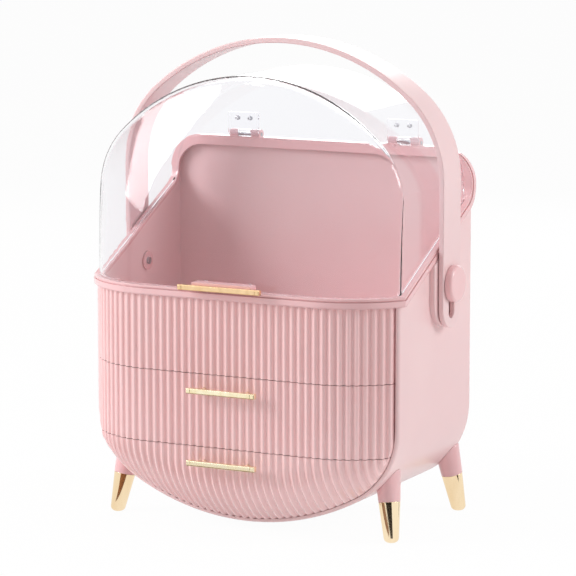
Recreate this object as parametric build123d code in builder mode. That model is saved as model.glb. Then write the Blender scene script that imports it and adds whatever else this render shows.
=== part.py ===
from build123d import *
from math import asin, atan2, cos, pi, radians, sin, sqrt, tan
import os

os.makedirs("parts", exist_ok=True)

# A vanity case for make-up: ribbed drawer casing on four splayed legs, an open tray above it under a
# clear hood, and a bail handle. X runs across, the ribbed front faces -Y, and Z = 0 is the floor.

# Casing
body_width = 280.0          # across the side walls
case_depth = 139.7          # front edge of the flat side walls to the back face
floor_gap = 6.5             # lowest point of the belly above the floor
shoulder_radius = 70.0      # lower corners of the casing, seen from the front
side_spring = 95.0          # height where the straight side walls begin
wall = 3.2                  # casing wall
back_edge_radius = 5.0      # round edge of the back face
front_edge_reach = 4.0      # casing edge ahead of the flat side walls
front_edge_radius = 2.8     # soft outer front edge of the casing
fit_gap = 0.1               # fixed piece against fixed piece

# Ribbed front, seen from above
front_bulge = 35.5          # middle of the front ahead of its two sides
flat_width = 153.0          # straight middle stretch
flat_ribs = 23              # ribs on the straight stretch
corner_ribs = 10            # ribs on each rounded end
rib_height = 2.1            # groove to crest
groove_share = 0.36         # share of a rib's width that its hollow takes
front_thickness = 3.0
belly_ratio = 1.39          # height of the belly's roll to its depth
front_inset = 1.0           # back of the fronts behind the flat side walls' front edge

# Heights of the seams and of the rim
lower_seam = 73.2           # between the two drawers
upper_seam = 133.7          # between the upper drawer and the fixed panel
seam_gap = 0.5
rim_front_height = 204.0    # top of the rim at the front
rim_slope = 27.0            # rise of the rim along the sides, degrees
back_height = 309.0         # top of the rim at the back
back_corner_radius = 28.0   # upper corners of the back wall
ear_depth = 10.0            # the rim's upright stretch at the back, front to back
ear_turn = 14.0             # radius where the sloping rim turns upright
rim_out = 4.0               # rim ahead of the wall
rim_in = 5.0                # rim behind the outside face of the wall
rim_height = 8.0            # outer skirt of the rim
rim_top = 3.0               # rim above the edge of the wall
rim_bands = ((0.0, 2.0, 3.4), (2.0, 2.8, 2.6), (2.8, 7.2, 4.0), (7.2, 8.0, 3.5))

# Decks and drawers
deck_thickness = 3.0
shelf_thickness = 2.5
tub_wall = 2.0
tub_side_gap = 0.8          # upper tub to casing wall
tub_slide_gap = 0.3         # tub above what it slides on
tub_top_gap = 2.0
tub_back_gap = 3.0
drawer_front_gap = 0.3      # front pieces to casing wall
tub_front_gap = 0.15        # drawer tub to drawer front
pocket_half = 118.0         # hollow of a drawer front, either side of the middle
runner_width = 8.0
runner_spacing = 110.0

# Hood
hood_wall = 2.2
hood_side_gap = 0.5         # hood inside the casing's outside face
hood_height = 374.5
hood_rise = 98.5            # arch of the hood, spring to crown
hood_shoulder = 70.0
hood_edge_radius = 9.0      # round edge between the leaning front and the arch
hood_seat_gap = 0.6         # hood edge above the rim
hood_back_radius = 18.0
hood_back_inset = 2.0       # back of the hood ahead of the back face

# Hood pull and drawer pulls
tab_width = 54.0
tab_depth = 10.0
tab_height = 6.0
hood_bar_length = 75.0
drawer_bar_length = 63.0
bar_height = 4.7
bar_depth = 5.0
bar_stand_off = 7.0
bar_edge = 1.0
bar_end = 4.0               # end of the bar to the fine groove round it
bar_groove = 0.4
post_radius = 1.8
post_spacing = 40.0
upper_bar_height = 121.0
lower_bar_height = 61.0
screw_head_radius = 3.0
screw_head_height = 1.5
screw_radius = 1.0
screw_reach = 7.0           # screw shank length
stud_radius = 1.0
stud_length = 5.0
running_gap = 0.05          # pin or screw in its hole

# Hinge
hinge_spacing = 150.0
hinge_barrel_radius = 4.0
hinge_pin_radius = 1.6
hinge_knuckle = 12.0        # length of the middle knuckle
hinge_side_knuckle = 8.0
hinge_side_gap = 0.4
hinge_offset = 4.4          # axis behind the back face
hinge_rise = 1.6            # axis above the back rim
hinge_plate = 2.0
hinge_plate_height = 18.0
plate_screw_rise = 5.0      # screws from the far edge of a hinge plate
plate_screw_spacing = 12.0
plate_head_radius = 2.0
plate_head_height = 0.9
plate_screw_depth = 2.4     # screw shank past a bracket into the casing

# Handle
handle_y = 76.5             # handle centre plane behind the front edge of the side walls
grip_room = 23.0            # crown of the hood to the underside of the handle
handle_gap = 0.6            # strap to boss
handle_thickness = 4.5
handle_width = 34.0
handle_rise = 112.0         # arch of the handle, spring to crown
handle_edge = 1.0           # soft edges of the strap
handle_shoulder = 90.0
boss_thickness = 4.6
boss_width = 45.0
boss_bottom = 169.5
pivot_height = 205.0
pivot_radius = 5.2
slot_side_gap = 0.15
handle_lift = 23.0          # travel of the handle on its slots
strap_end = 168.5           # lower end of the straps
cap_gap = 0.4
cap_radius = 15.2
cap_thickness = 6.0
cap_edge = 2.4
washer_radius = 8.0
washer_thickness = 1.2

# Legs
foot_spread = 257.0         # between the foot centres, side to side
front_foot_y = 8.0          # foot centre behind the front edge of the side walls
back_foot_y = 142.5
lean_out = 8.2              # degrees, sideways
lean_along = 9.5            # degrees, to the front or back
foot_radius = 5.7
foot_top_radius = 9.0
foot_length = 33.0
foot_wall = 1.2
foot_edge = 4.0
leg_top_radius = 10.8
leg_length = 60.0           # floor to the top of the leg along its axis
leg_top_edge = 3.0
peg_radius = 4.0

# Places worked out from the sizes above
half = body_width / 2
flat_half = flat_width / 2
side_bow = half - flat_half
bow_radius = (front_bulge ** 2 + side_bow ** 2) / (2 * front_bulge)
tab_reach = tab_depth + 2 * fit_gap - hood_side_gap
front_reach = front_bulge + max(bar_stand_off, tab_reach) + bar_depth
back_reach = back_foot_y - case_depth + foot_radius
edge_y = (front_reach - case_depth - back_reach) / 2      # front edge of the flat side walls
back_y = edge_y + case_depth
front_y = edge_y - front_bulge                            # flat middle of the front
inner_half = half - wall
inner_back = back_y - wall
front_back = edge_y + front_inset                         # back plane of the fronts
pivot_y = edge_y + handle_y
hinge_y = back_y + hinge_offset
hinge_z = back_height + hinge_rise
bracket_top = hinge_z - hinge_barrel_radius - hinge_side_gap
bracket_screw_z = bracket_top - hinge_plate_height + plate_screw_rise
leaf_low = hinge_z + 1.0
leaf_screw_z = leaf_low + hinge_plate_height - plate_screw_rise
plate_screw_xs = [hinge_spacing / 2 * s + plate_screw_spacing / 2 * w for s in (-1, 1) for w in (-1, 1)]
hood_back = back_y - hood_back_inset
hood_spring = hood_height - hood_rise
handle_half = half + boss_thickness + handle_gap + handle_thickness
handle_height = hood_height + grip_room + handle_thickness
handle_spring = handle_height - handle_rise
slope = radians(rim_slope)
ear_y = back_y - ear_depth
beyond = 60.0                                             # reach of cutters past the object


def facing(y):
    """Plane across the case at depth y: local X is X, local Y is Z, its normal looks to the front."""
    return Plane.XZ.offset(-y)


def arch_joint(half_width, spring, tip, shoulder):
    """Joint of corner arc and flat arc, and the middle of the corner arc, on the right-hand side."""
    way = 1 if tip > spring else -1
    rise = abs(tip - spring)
    crown = (half_width ** 2 - 2 * half_width * shoulder + rise ** 2) / (2 * (rise - shoulder))
    corner_x = half_width - shoulder
    angle = atan2(crown - rise, corner_x)
    joint = (crown * cos(angle), spring + way * (crown * sin(angle) - (crown - rise)))
    middle = (corner_x + shoulder * cos(angle / 2), spring + way * shoulder * sin(angle / 2))
    return joint, middle


def arch(half_width, spring, tip, shoulder):
    """Basket arch from (-half_width, spring) over or under (0, tip) to (half_width, spring)."""
    joint, middle = arch_joint(half_width, spring, tip, shoulder)
    ThreePointArc((-half_width, spring), (-middle[0], middle[1]), (-joint[0], joint[1]))
    ThreePointArc((-joint[0], joint[1]), (0, tip), joint)
    ThreePointArc(joint, middle, (half_width, spring))


def arch_height(x, half_width, spring, tip, shoulder):
    """Height of a basket arch at a distance x from its middle."""
    way = 1 if tip > spring else -1
    rise = abs(tip - spring)
    crown = (half_width ** 2 - 2 * half_width * shoulder + rise ** 2) / (2 * (rise - shoulder))
    joint, middle = arch_joint(half_width, spring, tip, shoulder)
    if abs(x) <= joint[0]:
        return tip - way * (crown - sqrt(crown ** 2 - x ** 2))
    inside = shoulder ** 2 - (abs(x) - half_width + shoulder) ** 2
    return spring + way * sqrt(max(inside, 0.0))


def case_block(inset, top, front, back, corner=0.0, edge=0.0):
    """Block with the casing's front view drawn inset from its outside face, between two depths."""
    reach = half - inset
    turn = corner * sin(radians(45))
    with BuildPart(mode=Mode.PRIVATE) as block:
        with BuildSketch(facing(back)):
            with BuildLine():
                arch(reach, side_spring, floor_gap + inset, shoulder_radius - inset)
                if corner > 0:
                    left = (corner - reach, top)
                    right = (reach - corner, top)
                    Line((reach, side_spring), (reach, top - corner))
                    ThreePointArc((reach, top - corner), (right[0] + turn, top - corner + turn), right)
                    Line(right, left)
                    ThreePointArc(left, (left[0] - turn, top - corner + turn), (-reach, top - corner))
                    Line((-reach, top - corner), (-reach, side_spring))
                else:
                    Polyline((reach, side_spring), (reach, top), (-reach, top), (-reach, side_spring))
            make_face()
        extrude(amount=back - front)
        if edge > 0:
            fillet(block.faces().sort_by(Axis.Y)[-1].edges(), edge)
    return block.part


def side_cutter(lower, high=back_height + beyond):
    """Everything under the rim's top edge moved down and back by lower, across the whole width."""
    rise_end = rim_front_height + (ear_y - edge_y) * tan(slope)
    turn_cut = ear_turn * tan((pi / 2 - slope) / 2)
    centre = (ear_y - ear_turn, rise_end + turn_cut)
    turn = ear_turn + lower
    bend = (slope - pi / 2) / 2
    front = front_y - beyond
    knee = (edge_y + lower * tan(slope / 2), rim_front_height - lower)
    start = (centre[0] + turn * sin(slope), centre[1] - turn * cos(slope))
    middle = (centre[0] + turn * cos(bend), centre[1] + turn * sin(bend))
    end = (centre[0] + turn, centre[1])
    back = back_y + beyond
    with BuildPart(mode=Mode.PRIVATE) as cutter:
        with BuildSketch(Plane.YZ):
            with BuildLine():
                Polyline((front, knee[1]), knee, start)
                ThreePointArc(start, middle, end)
                Polyline(end, (end[0], high), (back, high), (back, -beyond), (front, -beyond))
                Line((front, -beyond), (front, knee[1]))
            make_face()
        extrude(amount=half + beyond, both=True)
    return cutter.part


def smooth_y(x):
    """Depth of the smooth front at a distance x from the middle."""
    along = abs(x) - flat_half
    if along <= 0:
        return front_y
    return front_y + bow_radius - sqrt(bow_radius ** 2 - along ** 2)


def front_point(run, lift=0.0):
    """Point of the front seen from above, at a run from the middle, lifted along its outward normal."""
    side = 1 if run >= 0 else -1
    along = abs(run)
    if along <= flat_half:
        return (side * along, front_y - lift)
    angle = (along - flat_half) / bow_radius
    reach = bow_radius + lift
    return (side * (flat_half + reach * sin(angle)), front_y + bow_radius - reach * cos(angle))


def front_run(x, lift=0.0):
    """Run along the front at which it comes out to a given half-width."""
    return flat_half + bow_radius * asin((x - flat_half) / (bow_radius + lift))


def bowed_block(lift, half_width, back, low, high):
    """Upright block behind the smooth bowed front, between two heights."""
    end = front_run(half_width, lift)
    right = front_point(end, lift)
    middle = front_point((end + flat_half) / 2, lift)
    inner = (flat_half, front_y - lift)
    with BuildPart(mode=Mode.PRIVATE) as block:
        with BuildSketch(Plane.XY.offset(low)):
            with BuildLine():
                ThreePointArc((-right[0], right[1]), (-middle[0], middle[1]), (-inner[0], inner[1]))
                Line((-inner[0], inner[1]), inner)
                ThreePointArc(inner, middle, right)
                Polyline(right, (right[0], back), (-right[0], back), (-right[0], right[1]))
            make_face()
        extrude(amount=high - low)
    return block.part


def plain_block(half_width, front, back, low, high):
    """Box about the middle plane."""
    centre = Pos(0, (front + back) / 2, (low + high) / 2)
    return centre * Box(2 * half_width, back - front, high - low, mode=Mode.PRIVATE)


rib_end = front_run(inner_half - drawer_front_gap)
flat_pitch = flat_width / flat_ribs
corner_pitch = (rib_end - flat_half) / corner_ribs
crest_lift = rib_height / 3
groove_lift = crest_lift - rib_height
grooves = [-rib_end + corner_pitch * i for i in range(corner_ribs)]
grooves += [-flat_half + flat_pitch * i for i in range(flat_ribs + 1)]
grooves += [flat_half + corner_pitch * (i + 1) for i in range(corner_ribs)]


def rib_point(left, right, share):
    """Point of the ribbed front at a share of the way over one rib, from groove to groove."""
    from_crest = abs(share - 0.5)
    from_groove = 0.5 - from_crest
    if from_groove < groove_share / 2:
        lift = groove_lift + groove_share * rib_height * (2 * from_groove / groove_share) ** 2
    else:
        round_share = 1 - groove_share
        lift = crest_lift - round_share * rib_height * (2 * from_crest / round_share) ** 2
    return front_point(left + share * (right - left), lift), lift


def ribbed_block(low, high):
    """Upright block behind the ribbed front: a round crest to a rib, a round hollow between two."""
    first = front_point(grooves[0], groove_lift)
    last = front_point(grooves[-1], groove_lift)
    with BuildPart(mode=Mode.PRIVATE) as block:
        with BuildSketch(Plane.XY.offset(low)):
            with BuildLine():
                end = first
                for left, right in zip(grooves, grooves[1:]):
                    start = rib_point(left, right, groove_share / 2)[0]
                    if end == first:
                        Line(first, start)
                    else:
                        ThreePointArc(end, front_point(left, groove_lift), start)
                    end = rib_point(left, right, 1 - groove_share / 2)[0]
                    ThreePointArc(start, front_point((left + right) / 2, crest_lift), end)
                Polyline(end, last, (last[0], front_back), (first[0], front_back), first)
            make_face()
        extrude(amount=high - low)
    return block.part


def belly_section(x, y, back, top):
    """Side view of the lowest front at distance x, for a front that stands at depth y above the roll."""
    lift = smooth_y(x) - y
    depth = edge_y - smooth_y(x)
    low = arch_height(x, half, side_spring, floor_gap, shoulder_radius)
    start = min(low + belly_ratio * depth, max(lower_seam - seam_gap, low + 2))
    lean = atan2(2 * depth, start - low)
    middle = (y, (start + low) / 2 - lift * tan(lean / 2))
    end = (edge_y - lift * cos(lean), low - lift * sin(lean))
    with BuildSketch(Plane.YZ.offset(x), mode=Mode.PRIVATE) as section:
        with BuildLine():
            Line((y, top), (y, start))
            Bezier((y, start), middle, end)
            Polyline(end, (back, end[1]), (back, top), (y, top))
        make_face()
    return section.sketch.face()


def belly_block(lift, reach, back, top):
    """Block behind the smooth lowest front, rolled back under the casing."""
    end = front_run(reach, lift)
    runs = [-end + (end - flat_half) * i / 8 for i in range(8)]
    runs += [-flat_half + flat_width * i / 8 for i in range(9)]
    runs += [flat_half + (end - flat_half) * (i + 1) / 8 for i in range(8)]
    sections = []
    for run in runs:
        x, y = front_point(run, lift)
        sections.append(belly_section(x, y, back, top))
    return loft(sections, ruled=True, mode=Mode.PRIVATE)


def ribbed_belly(top):
    """Block behind the ribbed lowest front, its ribs rolling under with it."""
    sections = []
    for left, right in zip(grooves, grooves[1:]):
        for share in (0, 0.15, 0.3, 0.5, 0.7, 0.85):
            (x, y), lift = rib_point(left, right, share)
            sections.append(belly_section(x, y, front_back, top))
    x, y = front_point(grooves[-1], groove_lift)
    sections.append(belly_section(x, y, front_back, top))
    return loft(sections, ruled=True, mode=Mode.PRIVATE)


def hole_along_y(x, z, radius, front, back):
    """Round bar along Y."""
    with BuildPart(mode=Mode.PRIVATE) as bar:
        with BuildSketch(facing(back)):
            with Locations((x, z)):
                Circle(radius)
        extrude(amount=back - front)
    return bar.part


def bar_along_x(y, z, radius, left, right):
    """Round bar along X."""
    with BuildPart(mode=Mode.PRIVATE) as bar:
        with BuildSketch(Plane.YZ.offset(left)):
            with Locations((y, z)):
                Circle(radius)
        extrude(amount=right - left)
    return bar.part


def save(piece, name):
    """Name a piece and write its file."""
    piece.label = name
    export_step(piece, "parts/" + name + ".step")
    boxes = piece.bounding_box()
    print(name, len(piece.solids()), round(piece.volume), [round(v, 1) for v in (*boxes.min, *boxes.max)])


leg_spots = []
for side in (-1, 1):
    for foot_y, way in ((front_foot_y, 1), (back_foot_y, -1)):
        tilt = Vector(-side * tan(radians(lean_out)), way * tan(radians(lean_along)), 1)
        leg_spots.append(Plane(origin=(side * foot_spread / 2, edge_y + foot_y, 0), z_dir=tilt))
leg_names = ("front_left", "back_left", "front_right", "back_right")

boss_side = boss_bottom + boss_width / 2
with BuildPart() as boss:
    with BuildSketch(Plane.YZ.offset(-half - boss_thickness)):
        with Locations((pivot_y, boss_side)):
            Circle(boss_width / 2)
        with Locations((pivot_y, boss_side + beyond / 2)):
            Rectangle(boss_width, beyond)
    extrude(amount=body_width + 2 * boss_thickness)
    fillet(boss.faces().filter_by(Axis.X).edges(), 1.2)
    add(side_cutter(rim_height + fit_gap), mode=Mode.INTERSECT)
    add(case_block(fit_gap, back_height, edge_y, back_y), mode=Mode.SUBTRACT)

peg_hole_radius = peg_radius + fit_gap
with BuildPart() as casing:
    add(case_block(0, back_height - rim_top, edge_y - front_edge_reach, back_y, back_corner_radius - rim_top))
    fillet(casing.faces().sort_by(Axis.Y)[-1].edges(), back_edge_radius)
    fillet(casing.faces().sort_by(Axis.Y)[0].edges(), front_edge_radius)
    add(case_block(wall, back_height + beyond, edge_y - beyond, inner_back), mode=Mode.SUBTRACT)
    add(side_cutter(rim_top), mode=Mode.INTERSECT)
    add(boss.part)
    pin_hole = pivot_radius + running_gap
    add(bar_along_x(pivot_y, pivot_height, pin_hole, -half - beyond, half + beyond), mode=Mode.SUBTRACT)
    with Locations([Location(spot) for spot in leg_spots]):
        Cylinder(peg_hole_radius, 2 * leg_length, mode=Mode.SUBTRACT)
    bore = screw_radius + running_gap
    for x in plate_screw_xs:
        blind = back_y - plate_screw_depth - fit_gap
        add(hole_along_y(x, bracket_screw_z, bore, blind, back_y + 1), mode=Mode.SUBTRACT)
save(casing.part, "casing")

# Rim: a capping frame round the tray's mouth, with a skirt outside the walls
with BuildPart() as rim_frame:
    for upper, lower, out in rim_bands:
        height = back_height - rim_out + out
        corner = back_corner_radius - rim_out + out
        ring = case_block(-out, height, edge_y - fit_gap, back_y, corner)
        ring += bowed_block(out, half + out, edge_y, floor_gap, rim_front_height + 1)
        ring = ring & side_cutter(upper)
        add(ring - side_cutter(lower))
    above = rim_front_height + 1
    inner_top = back_height - rim_top - rim_in
    mouth = case_block(rim_in, inner_top, edge_y, back_y + beyond, back_corner_radius - rim_in)
    add(mouth, mode=Mode.SUBTRACT)
    add(bowed_block(-rim_in, half - rim_in, edge_y + rim_in, floor_gap, above), mode=Mode.SUBTRACT)
    room_top = back_height - rim_top + fit_gap
    room_front = edge_y - front_edge_reach - fit_gap
    room = case_block(-fit_gap, room_top, room_front, back_y + 1, back_corner_radius - rim_top + fit_gap)
    add(room & side_cutter(rim_top - fit_gap), mode=Mode.SUBTRACT)
    panel_top = rim_front_height - rim_top
    add(bowed_block(crest_lift + fit_gap, half, edge_y + 1, floor_gap, panel_top), mode=Mode.SUBTRACT)
save(rim_frame.part, "rim_frame")

# Fixed ribbed panel under the rim
front_room = case_block(wall + drawer_front_gap, back_height, edge_y - beyond, edge_y + beyond)
front_hollow = groove_lift - front_thickness
with BuildPart() as upper_panel:
    add(ribbed_block(upper_seam + seam_gap / 2, panel_top - fit_gap))
    add(front_room, mode=Mode.INTERSECT)
    hollow = bowed_block(front_hollow, pocket_half, front_back + 1, upper_seam, rim_front_height)
    add(hollow, mode=Mode.SUBTRACT)
save(upper_panel.part, "upper_panel")


def nested_block(lift, reach, wide, step, back, low, high):
    """Block that fills the hollow of a front and, behind a step, the wider space between the walls."""
    nose = bowed_block(lift, reach, step + 1, low, high)
    return nose + plain_block(wide, step, back, low, high)


# Tray floor over the upper drawer, and the shelf between the drawers
floor_low = upper_seam + seam_gap / 2
with BuildPart() as tray_floor:
    add(nested_block(front_hollow - fit_gap, pocket_half - fit_gap, half, front_back + fit_gap,
                     inner_back - fit_gap, floor_low, floor_low + deck_thickness))
    add(case_block(wall + fit_gap, back_height, edge_y - beyond, back_y), mode=Mode.INTERSECT)
save(tray_floor.part, "tray_floor")

shelf_top = lower_seam
with BuildPart() as drawer_shelf:
    add(plain_block(half, front_back + fit_gap, inner_back - fit_gap, shelf_top - shelf_thickness, shelf_top))
    add(case_block(wall + fit_gap, back_height, edge_y, back_y), mode=Mode.INTERSECT)
save(drawer_shelf.part, "drawer_shelf")

# Upper drawer
upper_low = lower_seam + seam_gap / 2
upper_high = upper_seam - seam_gap / 2
tub_back = inner_back - tub_back_gap
tub_step = front_back + tub_front_gap
tub_lift = front_hollow - tub_front_gap
tub_reach = pocket_half - tub_front_gap
screw_plane = front_y - front_hollow                      # back of a front at its flat middle


def screw_holes(height):
    """Seats for a pull's two posts, cut through the ribs, with shank holes and head recesses behind."""
    cutter = None
    for side in (-1, 1):
        x = side * post_spacing / 2
        seat = hole_along_y(x, height, post_radius + fit_gap, front_y - rib_height, front_y - groove_lift)
        shank = hole_along_y(x, height, screw_radius + running_gap, front_y, screw_plane + 1)
        head = hole_along_y(x, height, screw_head_radius + fit_gap, screw_plane - screw_head_height - fit_gap,
                            screw_plane + 1)
        cutter = seat + shank + head if cutter is None else cutter + seat + shank + head
    return cutter


with BuildPart() as upper_front:
    add(ribbed_block(upper_low, upper_high))
    add(front_room, mode=Mode.INTERSECT)
    add(bowed_block(front_hollow, pocket_half, front_back + 1, lower_seam, upper_seam), mode=Mode.SUBTRACT)
    add(screw_holes(upper_bar_height), mode=Mode.SUBTRACT)
save(upper_front.part, "upper_front")

tub_high = upper_seam - seam_gap / 2 - tub_top_gap
with BuildPart() as upper_tub:
    add(nested_block(tub_lift, tub_reach, half, tub_step, tub_back, upper_low, tub_high))
    add(case_block(wall + tub_side_gap, back_height, edge_y - beyond, back_y), mode=Mode.INTERSECT)
    hollow = nested_block(tub_lift - tub_wall, tub_reach - tub_wall, half, tub_step + tub_wall,
                          tub_back - tub_wall, upper_low + tub_wall, tub_high + 1)
    inside = case_block(wall + tub_side_gap + tub_wall, back_height, edge_y - beyond, back_y)
    add(hollow & inside, mode=Mode.SUBTRACT)
save(upper_tub.part, "upper_tub")

# Lower drawer
belly_run = 8.0             # how far the rolled blocks run on behind the fronts
lower_high = lower_seam - seam_gap / 2
with BuildPart() as lower_front:
    add(ribbed_belly(side_spring))
    add(front_room, mode=Mode.INTERSECT)
    add(plain_block(half, edge_y - beyond, front_back + 1, lower_high, back_height), mode=Mode.SUBTRACT)
    pocket = belly_block(front_hollow, pocket_half, front_back + belly_run, side_spring)
    floor_room = case_block(wall + drawer_front_gap + front_thickness, back_height, edge_y - beyond, back_y)
    add(pocket & floor_room, mode=Mode.SUBTRACT)
    add(screw_holes(lower_bar_height), mode=Mode.SUBTRACT)
save(lower_front.part, "lower_front")

lower_inset = wall + drawer_front_gap + front_thickness + tub_front_gap
lower_tub_high = lower_seam - shelf_thickness - tub_top_gap
with BuildPart() as lower_tub:
    add(belly_block(tub_lift, tub_reach, tub_step + belly_run, side_spring))
    add(plain_block(half, tub_step, tub_back, floor_gap, side_spring))
    add(case_block(lower_inset, back_height, edge_y - beyond, back_y), mode=Mode.INTERSECT)
    add(plain_block(half, edge_y - beyond, back_y, lower_tub_high, back_height), mode=Mode.SUBTRACT)
    hollow = belly_block(tub_lift - tub_wall, tub_reach - tub_wall, tub_step + belly_run, side_spring)
    hollow += plain_block(half, tub_step + tub_wall, tub_back - tub_wall, floor_gap, side_spring)
    add(hollow & case_block(lower_inset + tub_wall, back_height, edge_y - beyond, back_y), mode=Mode.SUBTRACT)
save(lower_tub.part, "lower_tub")

# Runners under the lower drawer
with BuildPart() as runners:
    strips = case_block(wall + fit_gap, back_height, tub_step + tub_back_gap, inner_back - fit_gap)
    strips -= case_block(lower_inset - tub_slide_gap, back_height, edge_y - beyond, back_y)
    for side in (-1, 1):
        x = side * runner_spacing / 2
        lane = Pos(x, 0, side_spring / 2) * Box(runner_width, 4 * case_depth, side_spring, mode=Mode.PRIVATE)
        add(strips & lane)
save(runners.part, "runners")


with BuildPart() as groove_ring_block:
    Box(bar_groove, bar_depth + 1, bar_height + 1)
    Box(bar_groove, bar_depth - 2 * bar_groove, bar_height - 2 * bar_groove, mode=Mode.SUBTRACT)
groove_ring = groove_ring_block.part


def pull_bar(length, height, front):
    """Flat bar with soft edges, its front face at a given depth."""
    with BuildPart(mode=Mode.PRIVATE) as bar:
        with Locations((0, front + bar_depth / 2, height)):
            Box(length, bar_depth, bar_height)
        fillet(bar.edges(), bar_edge)
        for side in (-1, 1):
            with Locations((side * (length / 2 - bar_end), front + bar_depth / 2, height)):
                add(groove_ring, mode=Mode.SUBTRACT)
    return bar.part


def drawer_pull(height):
    """Bar on two posts that stand on the flat of a ribbed front and take its screws."""
    pull = pull_bar(drawer_bar_length, height, front_y - bar_stand_off - bar_depth)
    for side in (-1, 1):
        x = side * post_spacing / 2
        foot = front_y - groove_lift - fit_gap
        pull += hole_along_y(x, height, post_radius, front_y - bar_stand_off - 1, foot)
        tip = screw_plane - screw_head_height - screw_reach
        pull -= hole_along_y(x, height, screw_radius, tip - 0.5, foot + 1)
    return pull


def pull_screws(height):
    """Two round-headed screws through a front into the posts of its pull."""
    screws = None
    for side in (-1, 1):
        x = side * post_spacing / 2
        seat = screw_plane - screw_head_height
        shank = hole_along_y(x, height, screw_radius, seat - screw_reach, seat + 0.1)
        head = hole_along_y(x, height, screw_head_radius, seat, screw_plane - 0.05)
        screws = shank + head if screws is None else screws + shank + head
    return screws


with BuildPart() as upper_pull:
    add(drawer_pull(upper_bar_height))
save(upper_pull.part, "upper_pull")

with BuildPart() as lower_pull:
    add(drawer_pull(lower_bar_height))
save(lower_pull.part, "lower_pull")

with BuildPart() as upper_pull_screws:
    add(pull_screws(upper_bar_height))
save(upper_pull_screws.part, "upper_pull_screws")

with BuildPart() as lower_pull_screws:
    add(pull_screws(lower_bar_height))
save(lower_pull_screws.part, "lower_pull_screws")

# Hood
hood_front = front_y + hood_side_gap
hood_inside = hood_front + hood_wall
tab_low = rim_front_height + hood_seat_gap
tab_front = hood_front - fit_gap - tab_depth
tab_middle = tab_low + tab_height / 2
hood_bar_middle = tab_low + 1.8


def hood_face(inset):
    """Block behind the hood's front, which leans back from the rim to the crown."""
    lift = -hood_side_gap - inset
    reach = half - hood_side_gap - inset + 1.0
    far = flat_half + (bow_radius + lift) * asin(min((reach - flat_half) / (bow_radius + lift), 0.999))
    runs = [-far + (far - flat_half) * i / 6 for i in range(6)]
    runs += [-flat_half + flat_width * i / 4 for i in range(5)]
    runs += [flat_half + (far - flat_half) * (i + 1) / 6 for i in range(6)]
    sections = []
    low = upper_seam
    top = hood_height + beyond
    for run in runs:
        x, y = front_point(run, lift)
        crown = arch_height(min(abs(x), half), half, hood_spring, hood_height, hood_shoulder)
        lean = (edge_y - smooth_y(min(abs(x), half))) / (crown - rim_front_height) ** 2
        back_top = y + lean * (top - rim_front_height) ** 2
        middle = (y, (top + rim_front_height) / 2)
        with BuildSketch(Plane.YZ.offset(x), mode=Mode.PRIVATE) as section:
            with BuildLine():
                Line((y, low), (y, rim_front_height))
                Bezier((y, rim_front_height), middle, (back_top, top))
                Polyline((back_top, top), (back_y + beyond, top), (back_y + beyond, low), (y, low))
            make_face()
        sections.append(section.sketch.face())
    return loft(sections, mode=Mode.PRIVATE)


def hood_block(inset, low):
    """Solid hood: arch prism with rounded back edges, cut by its leaning front, the edge between rounded."""
    out = hood_side_gap + inset
    reach = half - out
    tip = hood_height - inset
    with BuildPart(mode=Mode.PRIVATE) as block:
        with BuildSketch(facing(hood_back - inset)):
            with BuildLine():
                arch(reach, hood_spring, tip, hood_shoulder - out)
                Polyline((reach, hood_spring), (reach, low), (-reach, low), (-reach, hood_spring))
            make_face()
        extrude(amount=hood_back - front_y + 5)
        edges = block.faces().sort_by(Axis.Y)[-1].edges()
        fillet(edges.filter_by(lambda edge: edge.bounding_box().max.Z > low + 1), hood_back_radius - inset)
        add(hood_face(inset), mode=Mode.INTERSECT)
        reach_y = hood_edge_radius / 2
        upright = block.edges().filter_by(lambda edge: edge.bounding_box().size.Y < reach_y)
        arch_edges = upright.filter_by(lambda edge: abs(edge.position_at(0.5).Y - edge_y) < reach_y)
        fillet(arch_edges, hood_edge_radius - inset)
    return block.part


with BuildPart() as hood:
    add(hood_block(0, upper_seam + 10))
    add(hood_block(hood_wall, upper_seam + 5), mode=Mode.SUBTRACT)
    clear = hood_seat_gap
    add(side_cutter(-clear, back_height - ear_turn), mode=Mode.SUBTRACT)
    add(case_block(-rim_out - clear, back_height + clear, ear_y - clear, back_y + beyond,
                   back_corner_radius + clear), mode=Mode.SUBTRACT)
    for side in (-1, 1):
        add(hole_along_y(side * post_spacing / 2, tab_middle, bore, front_y - 5, edge_y), mode=Mode.SUBTRACT)
    for x in plate_screw_xs:
        add(hole_along_y(x, leaf_screw_z, bore, hood_back - hood_wall - 1, hood_back + 1), mode=Mode.SUBTRACT)
save(hood.part, "hood")

# Hood pull: a tab over the rim, screwed on from inside the hood, and a bar pressed onto the tab
with BuildPart() as hood_tab:
    with Locations((0, tab_front + tab_depth / 2, tab_middle)):
        Box(tab_width, tab_depth, tab_height)
    fillet(hood_tab.edges().filter_by(Axis.Y).group_by(Axis.Z)[-1], 1.5)
    for side in (-1, 1):
        x = side * post_spacing / 2
        shank = hood_inside - screw_reach
        add(hole_along_y(x, tab_middle, screw_radius, shank - 0.5, hood_back), mode=Mode.SUBTRACT)
        stud_hole = hole_along_y(x / 2, hood_bar_middle, stud_radius, tab_front - 1, tab_front + stud_length)
        add(stud_hole, mode=Mode.SUBTRACT)
save(hood_tab.part, "hood_tab")

bar_front = tab_front - fit_gap - bar_depth
with BuildPart() as hood_pull:
    add(pull_bar(hood_bar_length, hood_bar_middle, bar_front))
    for side in (-1, 1):
        x = side * post_spacing / 4
        stud_end = tab_front + stud_length - 0.5
        add(hole_along_y(x, hood_bar_middle, stud_radius - running_gap, tab_front - 1, stud_end))
save(hood_pull.part, "hood_pull")

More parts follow.
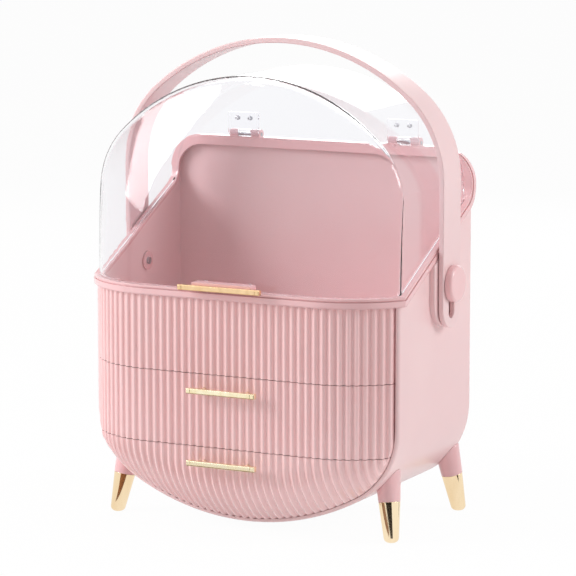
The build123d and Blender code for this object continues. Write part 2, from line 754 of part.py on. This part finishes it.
with BuildPart() as hood_screws:
    for side in (-1, 1):
        x = side * post_spacing / 2
        add(hole_along_y(x, tab_middle, screw_radius, hood_inside - screw_reach, hood_inside + 0.5))
        seat = hood_inside + 2 * fit_gap
        add(hole_along_y(x, tab_middle, screw_head_radius, seat, seat + screw_head_height))
save(hood_screws.part, "hood_screws")

# Hinge: brackets behind the back wall, leaves on the back of the hood, two pins
knuckle_half = hinge_knuckle / 2
side_start = knuckle_half + hinge_side_gap
side_end = side_start + hinge_side_knuckle
with BuildPart() as hinge_brackets:
    for side in (-1, 1):
        middle = side * hinge_spacing / 2
        plate_y = back_y + fit_gap
        with Locations((middle, plate_y + hinge_plate / 2, bracket_top - hinge_plate_height / 2)):
            Box(2 * side_end, hinge_plate, hinge_plate_height)
        for way in (-1, 1):
            left = middle + way * (side_start + side_end) / 2 - hinge_side_knuckle / 2
            right = left + hinge_side_knuckle
            add(bar_along_x(hinge_y, hinge_z, hinge_barrel_radius, left, right))
            web_low = bracket_top - hinge_side_knuckle
            with Locations(((left + right) / 2, (plate_y + hinge_y) / 2, (web_low + hinge_z) / 2)):
                Box(hinge_side_knuckle, hinge_y - plate_y, hinge_z - web_low)
        hole = bar_along_x(hinge_y, hinge_z, hinge_pin_radius, middle - side_end, middle + side_end)
        add(hole, mode=Mode.SUBTRACT)
    for x in plate_screw_xs:
        hole = hole_along_y(x, bracket_screw_z, bore, back_y, back_y + hinge_plate + 1)
        add(hole, mode=Mode.SUBTRACT)
save(hinge_brackets.part, "hinge_brackets")

leaf_y = hood_back + fit_gap
with BuildPart() as hinge_leaves:
    for side in (-1, 1):
        middle = side * hinge_spacing / 2
        add(bar_along_x(hinge_y, hinge_z, hinge_barrel_radius, middle - knuckle_half, middle + knuckle_half))
        with Locations((middle, (leaf_y + hinge_y) / 2, leaf_low + 1.5)):
            Box(hinge_knuckle, hinge_y - leaf_y, 3.0)
        with Locations((middle, leaf_y + hinge_plate / 2, leaf_low + hinge_plate_height / 2)):
            Box(2 * side_end, hinge_plate, hinge_plate_height)
        eye = hinge_pin_radius + running_gap
        add(bar_along_x(hinge_y, hinge_z, eye, middle - side_end, middle + side_end), mode=Mode.SUBTRACT)
    for x in plate_screw_xs:
        add(hole_along_y(x, leaf_screw_z, bore, hood_back, hood_back + hinge_plate + 1), mode=Mode.SUBTRACT)
save(hinge_leaves.part, "hinge_leaves")

with BuildPart() as hinge_pins:
    for side in (-1, 1):
        middle = side * hinge_spacing / 2
        add(bar_along_x(hinge_y, hinge_z, hinge_pin_radius, middle - side_end - 0.5, middle + side_end + 0.5))
save(hinge_pins.part, "hinge_pins")


def plate_screws(height, tip, plate_back):
    """Four round-headed screws through the two plates of one hinge side."""
    screws = None
    for x in plate_screw_xs:
        seat = plate_back + running_gap
        shank = hole_along_y(x, height, screw_radius, tip, seat + 0.1)
        head = hole_along_y(x, height, plate_head_radius, seat, plate_back + plate_head_height)
        screws = shank + head if screws is None else screws + shank + head
    return screws


with BuildPart() as bracket_screws:
    add(plate_screws(bracket_screw_z, back_y - plate_screw_depth, back_y + fit_gap + hinge_plate))
save(bracket_screws.part, "bracket_screws")

with BuildPart() as leaf_screws:
    add(plate_screws(leaf_screw_z, hood_back - hood_wall, leaf_y + hinge_plate))
save(leaf_screws.part, "leaf_screws")

# Handle: one strap bent over the case, slotted where it hangs on its pivots
slot_half = pivot_radius + slot_side_gap
with BuildPart() as handle:
    with BuildSketch(facing(pivot_y + handle_width / 2)):
        with BuildLine():
            arch(handle_half, handle_spring, handle_height, handle_shoulder)
            Line((handle_half, handle_spring), (handle_half, beyond))
            Line((handle_half, beyond), (-handle_half, beyond))
            Line((-handle_half, beyond), (-handle_half, handle_spring))
        make_face()
        with BuildLine():
            inner = handle_half - handle_thickness
            arch(inner, handle_spring, handle_height - handle_thickness, handle_shoulder - handle_thickness)
            Polyline((inner, handle_spring), (inner, beyond), (-inner, beyond), (-inner, handle_spring))
        make_face(mode=Mode.SUBTRACT)
    extrude(amount=handle_width)
    with BuildSketch(Plane.YZ.offset(-half - beyond)):
        with Locations((pivot_y, strap_end + handle_width / 2)):
            Circle(handle_width / 2)
        with Locations((pivot_y, strap_end + handle_width / 2 + handle_height / 2)):
            Rectangle(handle_width, handle_height)
    extrude(amount=body_width + 2 * beyond, mode=Mode.INTERSECT)
    with BuildSketch(Plane.YZ.offset(-half - beyond)):
        with Locations((pivot_y, pivot_height - handle_lift / 2)):
            SlotCenterToCenter(handle_lift + 2 * slot_side_gap, 2 * slot_half, rotation=90)
    extrude(amount=body_width + 2 * beyond, mode=Mode.SUBTRACT)
    fillet(handle.edges(), handle_edge)
save(handle.part, "handle")

# Pivots: pin and cap in one piece, held by a washer and a screw from inside
cap_inner = handle_half + cap_gap
cap_outer = cap_inner + cap_thickness
washer_outer = inner_half - cap_gap
washer_inner = washer_outer - washer_thickness


def pivot_cap(side):
    """Cap and pin of one pivot."""
    with BuildPart(mode=Mode.PRIVATE) as cap:
        with BuildSketch(Plane.YZ.offset(side * cap_inner)):
            with Locations((pivot_y, pivot_height)):
                Circle(cap_radius)
        extrude(amount=side * cap_thickness)
        fillet(cap.edges().group_by(Axis.X)[-1 if side > 0 else 0], cap_edge)
        ends = sorted((side * (washer_outer + 0.05), side * (cap_inner + 1)))
        add(bar_along_x(pivot_y, pivot_height, pivot_radius, *ends))
        core = sorted((side * (washer_outer - 1), side * (washer_outer + screw_reach)))
        add(bar_along_x(pivot_y, pivot_height, screw_radius, *core), mode=Mode.SUBTRACT)
    return cap.part


with BuildPart() as pivot_cap_left:
    add(pivot_cap(-1))
save(pivot_cap_left.part, "pivot_cap_left")

with BuildPart() as pivot_cap_right:
    add(pivot_cap(1))
save(pivot_cap_right.part, "pivot_cap_right")

with BuildPart() as pivot_washers:
    for side in (-1, 1):
        ends = sorted((side * washer_inner, side * washer_outer))
        ring = bar_along_x(pivot_y, pivot_height, washer_radius, *ends)
        add(ring - bar_along_x(pivot_y, pivot_height, screw_radius + running_gap, ends[0] - 1, ends[1] + 1))
save(pivot_washers.part, "pivot_washers")

with BuildPart() as pivot_screws:
    for side in (-1, 1):
        ends = sorted((side * (washer_inner + 0.02), side * (washer_outer + screw_reach - 1)))
        add(bar_along_x(pivot_y, pivot_height, screw_radius, *ends))
        ends = sorted((side * (washer_inner - 0.05), side * (washer_inner - screw_head_height)))
        add(bar_along_x(pivot_y, pivot_height, screw_head_radius, *ends))
        ends = sorted((side * (washer_inner - 0.5), side * (washer_inner + 0.5)))
        add(bar_along_x(pivot_y, pivot_height, screw_radius, *ends))
save(pivot_screws.part, "pivot_screws")

# Legs: a leaning socket that meets the belly and pegs into it, inside a metal cap
outside = case_block(-fit_gap, back_height, edge_y - front_edge_reach - fit_gap, back_y + fit_gap)
peg_room = case_block(-1.0, back_height, edge_y - front_edge_reach, back_y)
peg_room -= case_block(wall + 1.5, back_height, edge_y - beyond, inner_back + beyond)
ground = Pos(0, 0, -beyond / 2) * Box(4 * half, 4 * half, beyond, mode=Mode.PRIVATE)
leg_widen = (leg_top_radius - foot_top_radius) / (leg_length - foot_length)
for spot, name in zip(leg_spots, leg_names):
    with BuildPart() as leg:
        with BuildSketch(spot.offset(foot_length)):
            Circle(foot_top_radius)
        with BuildSketch(spot.offset(leg_length)):
            Circle(leg_top_radius)
        loft()
        fillet(leg.edges().sort_by(Axis.Z)[-1], leg_top_edge)
        with BuildSketch(spot.offset(foot_wall + fit_gap + 3)):
            Circle(foot_radius - foot_wall - fit_gap)
        with BuildSketch(spot.offset(foot_length + 1)):
            Circle(foot_top_radius - foot_wall - fit_gap)
        loft()
        add(outside, mode=Mode.SUBTRACT)
        peg = spot.offset(foot_length).location * Cylinder(peg_radius, 2 * leg_length, mode=Mode.PRIVATE)
        add(peg & peg_room)
        add(ground, mode=Mode.SUBTRACT)
    save(leg.part, "leg_" + name)

    with BuildPart() as foot:
        with BuildSketch(spot.offset(-foot_radius / 2)):
            Circle(foot_radius)
        with BuildSketch(spot.offset(foot_length - fit_gap)):
            Circle(foot_top_radius)
        loft()
        with BuildSketch(spot.offset(foot_wall + 3)):
            Circle(foot_radius - foot_wall)
        with BuildSketch(spot.offset(foot_length + 1)):
            Circle(foot_top_radius - foot_wall)
        loft(mode=Mode.SUBTRACT)
        add(ground, mode=Mode.SUBTRACT)
        fillet(foot.faces().sort_by(Axis.Z)[0].edges(), foot_edge)
    save(foot.part, "foot_" + name)
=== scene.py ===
import math
import bpy
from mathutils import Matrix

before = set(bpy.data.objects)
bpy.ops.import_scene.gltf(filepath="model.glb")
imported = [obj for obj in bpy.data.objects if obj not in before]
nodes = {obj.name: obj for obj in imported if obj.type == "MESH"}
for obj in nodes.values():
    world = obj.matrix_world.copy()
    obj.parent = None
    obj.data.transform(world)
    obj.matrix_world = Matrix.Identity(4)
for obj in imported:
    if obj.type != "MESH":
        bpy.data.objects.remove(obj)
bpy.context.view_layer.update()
print("case loaded:", len(nodes), "solids")


def tone(red, green, blue):              # screen colour, 0 to 255, to linear
    flat = []
    for part in (red, green, blue):
        part = part / 255
        flat.append(part / 12.92 if part <= 0.04045 else ((part + 0.055) / 1.055) ** 2.4)
    return (*flat, 1.0)


def startMaterial(name):
    made = bpy.data.materials.new(name)
    made.use_nodes = True
    return made, made.node_tree, made.node_tree.nodes["Principled BSDF"]


def rayIs(tree, *kinds):                 # 1 where the ray is of any of these kinds
    path = tree.nodes.new("ShaderNodeLightPath")
    found = path.outputs["Is " + kinds[0] + " Ray"]
    for kind in kinds[1:]:
        either = tree.nodes.new("ShaderNodeMath")
        either.operation = "MAXIMUM"
        tree.links.new(found, either.inputs[0])
        tree.links.new(path.outputs["Is " + kind + " Ray"], either.inputs[1])
        found = either.outputs[0]
    return found


def mixInto(tree, share, first, second, out):
    mix = tree.nodes.new("ShaderNodeMixShader")
    tree.links.new(share, mix.inputs["Fac"])
    tree.links.new(first, mix.inputs[1])
    tree.links.new(second, mix.inputs[2])
    tree.links.new(mix.outputs["Shader"], out.inputs["Surface"])


def turnToward(place, aim):              # turn that points local -Z from place to aim
    run = [a - p for a, p in zip(aim, place)]
    flat = math.hypot(run[0], run[1])
    return (math.atan2(flat, -run[2]), 0, math.atan2(-run[0], run[1]))


cameraSet = {
    "azimuth": 27.06,                    # degrees round to the front right
    "elevation": 8.93,
    "distance": 2.687,
    "target": (0.0, 0.02565, 0.1908),
    "lens": 200.1,
    "sensor": 36.0,
    "clip": (0.05, 40.0),
}


def addCamera(look):
    turn = math.radians(look["azimuth"])
    rise = math.radians(look["elevation"])
    away = (math.sin(turn) * math.cos(rise), -math.cos(turn) * math.cos(rise), math.sin(rise))
    place = [t + look["distance"] * a for t, a in zip(look["target"], away)]
    bpy.ops.object.camera_add(location=place, rotation=(math.radians(90) - rise, 0, turn))
    camera = bpy.context.object
    camera.name = "pictureCamera"
    camera.data.lens = look["lens"]
    camera.data.sensor_width = look["sensor"]
    camera.data.clip_start, camera.data.clip_end = look["clip"]
    bpy.context.scene.camera = camera


lampSet = [
    # name, place, aim, size, watts
    ("keySoftbox", (-1.75, -1.25, 1.15), (0.0, 0.0, 0.18), 1.1, 35.0),
    ("sideSoftbox", (1.85, 0.60, 1.05), (0.1, 0.0, 0.20), 0.8, 17.5),
    ("topSoftbox", (0.10, -0.10, 2.00), (0.0, 0.0, 0.20), 1.2, 8.0),
    ("backSoftbox", (-0.60, 1.80, 0.90), (0.0, 0.0, 0.25), 1.0, 8.0),
]


def addLamps(rows):
    for name, place, aim, size, watts in rows:
        bpy.ops.object.light_add(type="AREA", location=place, rotation=turnToward(place, aim))
        lamp = bpy.context.object
        lamp.name = name
        lamp.data.shape = "SQUARE"
        lamp.data.size = size
        lamp.data.energy = watts


frontRightFoot = (0.13, -0.04)
frontLeftFoot = (-0.13, -0.04)
backRightFoot = (0.13, 0.09)
flagRoughness = 0.9
flagSet = [
    # name, place, aim, width, height, tone: cards that only polished surfaces mirror
    ("frontFlag", (0.25, -0.48, 0.06), (*frontRightFoot, 0.03), 0.58, 0.16, (34, 28, 24)),
    ("floorFlag", (-0.02, -0.20, 0.003), (-0.02, -0.20, 1.0), 0.28, 0.20, (128, 92, 66)),
    ("sideFlag", (-0.95, -0.75, 0.12), (*frontLeftFoot, 0.04), 0.16, 0.40, (34, 28, 24)),
    ("leftFootFlag", (-0.112, -0.129, 0.025), (*frontLeftFoot, 0.025), 0.075, 0.08, (166, 124, 90)),
    ("backFootFlag", (0.214, 0.078, 0.022), (*backRightFoot, 0.022), 0.035, 0.07, (60, 42, 32)),
]


def addFlags(rows):
    for name, place, aim, width, height, shade in rows:
        card, _, paint = startMaterial(name)
        paint.inputs["Base Color"].default_value = tone(*shade)
        paint.inputs["Roughness"].default_value = flagRoughness
        bpy.ops.mesh.primitive_plane_add(size=1.0, location=place, rotation=turnToward(place, aim))
        flag = bpy.context.object
        flag.name = name
        flag.scale = (width, height, 1)
        flag.data.materials.append(card)
        flag.visible_camera = False
        flag.visible_diffuse = False
        flag.visible_shadow = False
        flag.visible_transmission = False


worldSet = {"seen": 1.0, "ambient": 0.33, "tint": (1.0, 0.985, 0.98, 1)}


def addWorld(look):
    world = bpy.data.worlds.new("studioWorld")
    bpy.context.scene.world = world
    world.use_nodes = True
    tree = world.node_tree
    tree.nodes.clear()
    out = tree.nodes.new("ShaderNodeOutputWorld")
    seen = tree.nodes.new("ShaderNodeBackground")
    lit = tree.nodes.new("ShaderNodeBackground")
    seen.inputs["Color"].default_value = (1, 1, 1, 1)
    seen.inputs["Strength"].default_value = look["seen"]
    lit.inputs["Color"].default_value = look["tint"]
    lit.inputs["Strength"].default_value = look["ambient"]
    straight = rayIs(tree, "Camera", "Transmission", "Glossy")
    mixInto(tree, straight, lit.outputs[0], seen.outputs[0], out)


floorSet = {"size": 30.0, "colour": (0.93, 0.93, 0.93, 1), "whiteShare": 0.965, "glow": 1.0}


def addFloor(look):
    bpy.ops.mesh.primitive_plane_add(size=look["size"], location=(0, 0, 0))
    floor = bpy.context.object
    floor.name = "paleFloor"
    paint = bpy.data.materials.new("paleFloor")
    paint.use_nodes = True
    tree = paint.node_tree
    tree.nodes.clear()
    out = tree.nodes.new("ShaderNodeOutputMaterial")
    matt = tree.nodes.new("ShaderNodeBsdfDiffuse")
    glow = tree.nodes.new("ShaderNodeEmission")
    share = tree.nodes.new("ShaderNodeMath")
    share.operation = "MULTIPLY"
    share.inputs[1].default_value = look["whiteShare"]
    matt.inputs["Color"].default_value = look["colour"]
    glow.inputs["Strength"].default_value = look["glow"]
    tree.links.new(rayIs(tree, "Camera", "Transmission", "Glossy"), share.inputs[0])
    mixInto(tree, share.outputs[0], matt.outputs[0], glow.outputs[0], out)
    floor.data.materials.append(paint)


bpy.ops.object.select_all(action="DESELECT")
addCamera(cameraSet)
addLamps(lampSet)
addFlags(flagSet)
addWorld(worldSet)
addFloor(floorSet)
bpy.context.scene.view_settings.view_transform = "Standard"
bounceLimit = 24                         # the hood's edges pass light on many times
for bounces in ("max_bounces", "transmission_bounces", "glossy_bounces"):
    setattr(bpy.context.scene.cycles, bounces, bounceLimit)
print("studio ready")


def noise(tree, spot, scale, detail):
    cloud = tree.nodes.new("ShaderNodeTexNoise")
    cloud.inputs["Scale"].default_value = scale
    cloud.inputs["Detail"].default_value = detail
    tree.links.new(spot, cloud.inputs["Vector"])
    return cloud.outputs["Fac"]


def paintBy(tree, shader, value, look):  # base colour from deep to light over the band
    blend = tree.nodes.new("ShaderNodeValToRGB")
    for end, place, shade in zip(blend.color_ramp.elements, look["band"], (look["deep"], look["light"])):
        end.position = place
        end.color = tone(*shade)
    tree.links.new(value, blend.inputs["Fac"])
    tree.links.new(blend.outputs["Color"], shader.inputs["Base Color"])


def roughenBy(tree, shader, value, smooth, rough):
    run = tree.nodes.new("ShaderNodeMapRange")
    run.inputs["To Min"].default_value = smooth
    run.inputs["To Max"].default_value = rough
    tree.links.new(value, run.inputs["Value"])
    tree.links.new(run.outputs["Result"], shader.inputs["Roughness"])


edgeSamples = 6


def grainOn(tree, shader, height, look):  # fine relief over broken mould edges
    bump = tree.nodes.new("ShaderNodeBump")
    bump.inputs["Strength"].default_value = look["grain"]
    bump.inputs["Distance"].default_value = look["grainDepth"]
    tree.links.new(height, bump.inputs["Height"])
    soft = tree.nodes.new("ShaderNodeBevel")
    soft.samples = edgeSamples
    soft.inputs["Radius"].default_value = look["edge"]
    tree.links.new(soft.outputs["Normal"], bump.inputs["Normal"])
    tree.links.new(bump.outputs["Normal"], shader.inputs["Normal"])


def mouldedPlastic(name, look):
    made, tree, shader = startMaterial(name)
    spot = tree.nodes.new("ShaderNodeTexCoord").outputs["Object"]
    cloud = noise(tree, spot, look["cloudScale"], look["cloudDetail"])
    grain = noise(tree, spot, look["grainScale"], look["grainDetail"])
    paintBy(tree, shader, cloud, look)
    smoother, rougher = look["mattRange"]
    roughenBy(tree, shader, cloud, look["roughness"] - smoother, look["roughness"] + rougher)
    grainOn(tree, shader, grain, look)
    shader.inputs["IOR"].default_value = look["ior"]
    shader.inputs["Coat Weight"].default_value = look["coat"]
    shader.inputs["Coat Roughness"].default_value = look["coatRoughness"]
    shader.inputs["Subsurface Weight"].default_value = look["glow"]
    shader.inputs["Subsurface Radius"].default_value = look["glowReach"]
    shader.inputs["Subsurface Scale"].default_value = look["glowDepth"]
    return made


def platedMetal(name, look):
    made, tree, shader = startMaterial(name)
    spot = tree.nodes.new("ShaderNodeTexCoord")
    stretch = tree.nodes.new("ShaderNodeMapping")
    # stretching the tone noise upright turns it into streaks; on the feet these are painted reflection
    # stripes over the plating's own uneven tone
    stretch.inputs["Scale"].default_value = look["reflectionStreakStretch"]
    tree.links.new(spot.outputs["Object"], stretch.inputs["Vector"])
    wearAndReflection = noise(tree, stretch.outputs["Vector"], look["wearAndReflectionScale"], look["wearAndReflectionDetail"])
    paintBy(tree, shader, wearAndReflection, look)
    bright, dull = look["polishRange"]
    roughenBy(tree, shader, wearAndReflection, look["roughness"] * bright, look["roughness"] * dull)
    grainOn(tree, shader, wearAndReflection, look)
    shader.inputs["Metallic"].default_value = 1.0
    return made


def clearPlastic(name, look):
    made, tree, shader = startMaterial(name)
    spot = tree.nodes.new("ShaderNodeTexCoord").outputs["Object"]
    smear = noise(tree, spot, look["smearScale"], look["smearDetail"])
    paintBy(tree, shader, smear, look)
    bright, dull = look["polishRange"]
    roughenBy(tree, shader, smear, look["roughness"] * bright, look["roughness"] * dull)
    shader.inputs["Transmission Weight"].default_value = 1.0
    shader.inputs["IOR"].default_value = look["ior"]
    lampsThrough = tree.nodes.new("ShaderNodeBsdfTransparent")
    lampsThrough.inputs["Color"].default_value = look["through"]
    lighting = rayIs(tree, "Shadow", "Diffuse")
    mixInto(tree, lighting, shader.outputs["BSDF"], lampsThrough.outputs["BSDF"],
            tree.nodes["Material Output"])
    return made


# Lengths in metres, colours as screen tones
shellLook = {
    "deep": (241, 206, 207), "light": (245, 213, 213), "band": (0.35, 0.68),
    "cloudScale": 9.0, "cloudDetail": 3.0,
    "grainScale": 900.0, "grainDetail": 2.0, "grain": 0.08, "grainDepth": 0.0002,
    "roughness": 0.34, "mattRange": (0.03, 0.04), "coat": 0.25, "coatRoughness": 0.16,
    "glow": 0.10, "glowReach": (1.0, 0.55, 0.5), "glowDepth": 0.002,
    "edge": 0.0008, "ior": 1.46,
}
legLook = dict(shellLook, deep=(240, 192, 194), light=(244, 199, 201), roughness=0.30, edge=0.0004)
ribLook = dict(shellLook, deep=(248, 204, 204), light=(252, 212, 212), roughness=0.24, coat=0.7,
               coatRoughness=0.08, edge=0.0004)
trimLook = dict(shellLook, deep=(241, 193, 195), light=(245, 200, 202), roughness=0.26, coat=0.5,
                coatRoughness=0.1)
innerLook = dict(shellLook, deep=(241, 208, 209), light=(245, 216, 217), roughness=0.5, coat=0.0,
                 grain=0.2)
handleLook = dict(shellLook, deep=(239, 205, 206), light=(243, 211, 212), roughness=0.30, coat=0.3)
hoodLook = {
    "deep": (251, 251, 253), "light": (254, 254, 255), "band": (0.0, 1.0),
    "smearScale": 6.0, "smearDetail": 3.0, "roughness": 0.008, "polishRange": (1.0, 2.5),
    "ior": 1.33, "through": (0.97, 0.97, 0.98, 1),
}
pullLook = {
    "deep": (246, 230, 188), "light": (254, 246, 216), "band": (0.3, 0.7),
    "reflectionStreakStretch": (1, 1, 1), "wearAndReflectionScale": 120.0, "wearAndReflectionDetail": 4.0,
    "roughness": 0.16, "polishRange": (0.7, 1.4), "grain": 0.03, "grainDepth": 0.0001,
    "edge": 0.0003,
}
hoodPullLook = dict(pullLook, deep=(235, 198, 150), light=(248, 216, 172))
# feet: uneven plating tone stretched upright into broad streaks of painted reflection
footLook = dict(pullLook, deep=(238, 210, 168), light=(252, 232, 198), reflectionStreakStretch=(1, 1, 0.2),
                wearAndReflectionScale=60.0, roughness=0.07, grain=0.01)
steelLook = dict(pullLook, deep=(165, 166, 170), light=(200, 200, 204), wearAndReflectionScale=200.0,
                 roughness=0.3, grain=0.1)

legs = [name for name in nodes if name.startswith("leg_")]
feet = [name for name in nodes if name.startswith("foot_")]
trims = ["rim_frame", "hood_tab", "pivot_cap_left", "pivot_cap_right", "hinge_brackets",
         "pivot_washers"]
insides = ["tray_floor", "drawer_shelf", "runners", "upper_tub", "lower_tub"]
fasteners = ["hinge_pins", "pivot_screws", "hood_screws", "bracket_screws", "leaf_screws",
             "upper_pull_screws", "lower_pull_screws"]
finishes = {
    mouldedPlastic("shellPink", shellLook): ["casing"],
    mouldedPlastic("legPink", legLook): legs,
    mouldedPlastic("flutedPink", ribLook): ["upper_panel", "upper_front", "lower_front"],
    mouldedPlastic("trimPink", trimLook): trims,
    mouldedPlastic("innerPink", innerLook): insides,
    mouldedPlastic("handlePink", handleLook): ["handle"],
    clearPlastic("clearHood", hoodLook): ["hood", "hinge_leaves"],
    platedMetal("pullGold", pullLook): ["upper_pull", "lower_pull"],
    platedMetal("hoodPullGold", hoodPullLook): ["hood_pull"],
    platedMetal("footGold", footLook): feet,
    platedMetal("plainSteel", steelLook): fasteners,
}
for material, names in finishes.items():
    for name in names:
        nodes[name].data.materials.clear()
        nodes[name].data.materials.append(material)
print("finishes on", sum(len(names) for names in finishes.values()), "solids")
